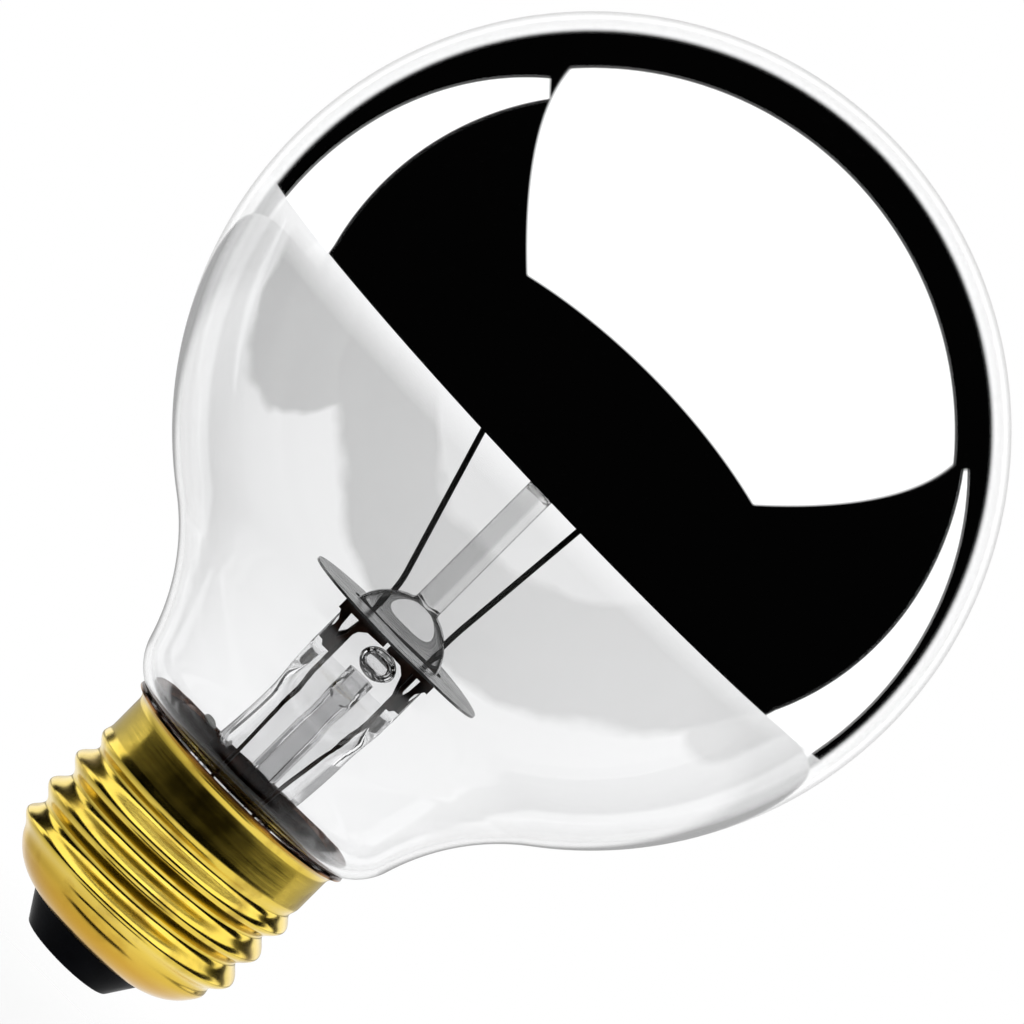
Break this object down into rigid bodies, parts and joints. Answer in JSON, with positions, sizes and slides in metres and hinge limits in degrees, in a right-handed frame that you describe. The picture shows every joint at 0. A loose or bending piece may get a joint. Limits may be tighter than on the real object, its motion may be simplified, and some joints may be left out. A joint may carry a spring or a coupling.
{
  "type": "globe bulb",
  "caption": "Clear glass globe lamp with a mirrored crown, a wire filament on a glass stem inside, and a brass screw cap with a black insulator.",
  "frame": {"origin": "tip of the solder on the centre contact, on the lamp's axis", "axes": "+Z along the lamp's axis from the cap to the crown of the globe; the lead wires stand in the XZ plane and the filament bows towards +Y"},
  "size_m": [0.0794, 0.0794, 0.1115],
  "materials": {
    "clear_glass": "clear, fire polished",
    "stem_glass": "clear, pressed and drawn",
    "mirror": "bright mirror film",
    "sheet_brass": "bright rolled sheet, browned at the lip",
    "black_glass": "glossy, opaque black",
    "solder": "dull bright",
    "cement": "baked brown, matt",
    "lead_wire": "dark drawn wire",
    "copper_wire": "drawn copper-clad wire",
    "heat_disc": "bright thin sheet",
    "clip_strip": "dark folded strip",
    "tungsten": "grey drawn wire"
  },
  "bodies": {
    "root": {"glass_envelope": "clear_glass", "stem_flare": "stem_glass", "exhaust_tube": "stem_glass", "support_rod": "stem_glass", "mirror_coating": "mirror", "screw_shell": "sheet_brass", "contact_eyelet": "sheet_brass", "insulator": "black_glass", "contact_solder": "solder", "side_solder": "solder", "basing_cement": "cement", "inner_lead_left": "lead_wire", "inner_lead_right": "lead_wire", "outer_lead_centre": "copper_wire", "outer_lead_side": "copper_wire", "seal_wire_left": "copper_wire", "seal_wire_right": "copper_wire", "heat_disc": "heat_disc", "disc_clip_left": "clip_strip", "disc_clip_right": "clip_strip", "filament": "tungsten", "filament_support_1": "tungsten", "filament_support_2": "tungsten", "filament_support_3": "tungsten"}
  },
  "joints": []
}
